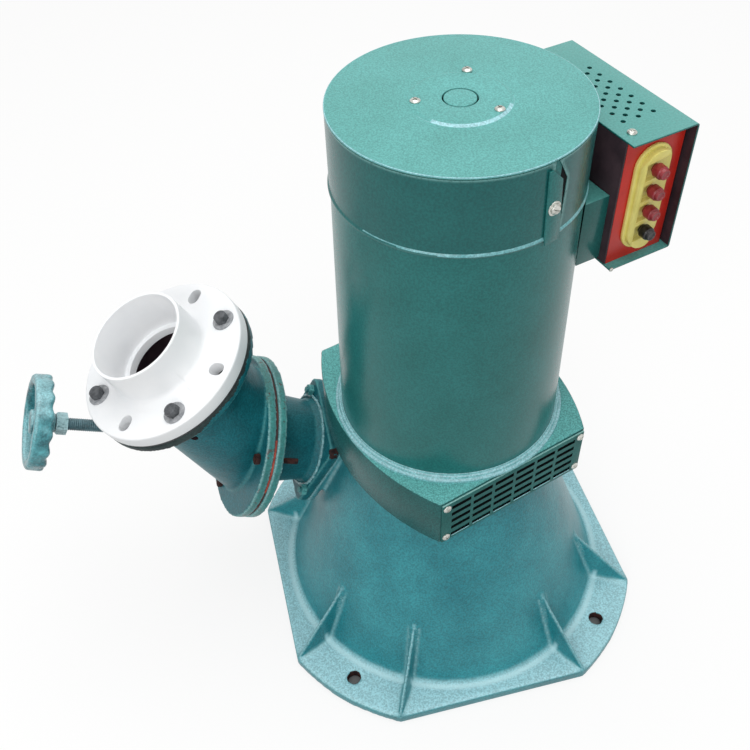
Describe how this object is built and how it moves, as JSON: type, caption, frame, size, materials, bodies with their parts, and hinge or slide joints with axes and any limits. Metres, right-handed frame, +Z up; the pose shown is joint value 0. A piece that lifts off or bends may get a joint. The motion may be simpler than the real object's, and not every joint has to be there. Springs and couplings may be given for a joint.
{
  "type": "micro hydro generator",
  "caption": "Vertical micro hydro generator on a bell casting, with an inclined nozzle, spear valve handwheel, white inlet flange and terminal box.",
  "frame": {"origin": "on the shaft axis at the underside of the foot flange", "axes": "+Z up along the shaft, -X towards the water inlet, +X towards the terminal box"},
  "size_m": [0.7882, 0.495, 0.7694],
  "materials": {
    "painted_cast_iron": "gloss paint over rough cast iron",
    "painted_steel": "gloss orange-peel paint over sheet steel",
    "stainless_steel": "machined",
    "zinc_plated_steel": "zinc plated",
    "red_painted_steel": "satin paint",
    "yellow_plastic": "moulded",
    "black_plastic": "moulded",
    "red_plastic": "moulded",
    "rusty_gasket": "worn, rust stained",
    "black_rubber": "matt",
    "white_pvc": "satin moulded"
  },
  "bodies": {
    "generator": {"base_casting": "painted_cast_iron", "vent_housing": "painted_steel", "vent_plate_front": "painted_steel", "vent_plate_back": "painted_steel", "generator_shell": "painted_steel", "foot_ring": "painted_steel", "cover_band": "painted_steel", "band_clamp": "painted_steel", "lid": "painted_steel", "lid_cap": "painted_steel", "shaft": "stainless_steel", "runner": "stainless_steel", "box_saddle": "painted_steel", "box_chassis": "painted_steel", "box_cover": "painted_steel", "terminal_panel": "red_painted_steel", "terminal_board": "yellow_plastic", "post_1": "black_plastic", "post_2": "red_plastic", "post_3": "red_plastic", "post_4": "red_plastic", "nozzle_pipe": "painted_cast_iron", "nozzle_tip": "stainless_steel", "mid_gasket": "rusty_gasket", "inlet_elbow": "painted_cast_iron", "gland_nut": "zinc_plated_steel", "inlet_gasket": "black_rubber", "inlet_flange": "white_pvc"},
    "spear": {"spear_rod": "stainless_steel"},
    "handwheel": {"handwheel": "painted_cast_iron", "wheel_nut": "zinc_plated_steel"}
  },
  "joints": [
    {"name": "spear_slide", "type": "slide", "parent": "generator", "child": "spear", "axis": [-0.9087, -0.0317, 0.4163], "range_m": [-0.015, 0.015]},
    {"name": "wheel_turn", "type": "hinge", "parent": "spear", "child": "handwheel", "pos_m": [-0.5056, 0.08384, 0.35889], "axis": [-0.9087, -0.0317, 0.4163], "range_deg": [-1080, 1080]}
  ],
  "couplings": [
    {"joint": "spear_slide", "follows": "wheel_turn", "m_per_rad": 0.00079577}
  ]
}
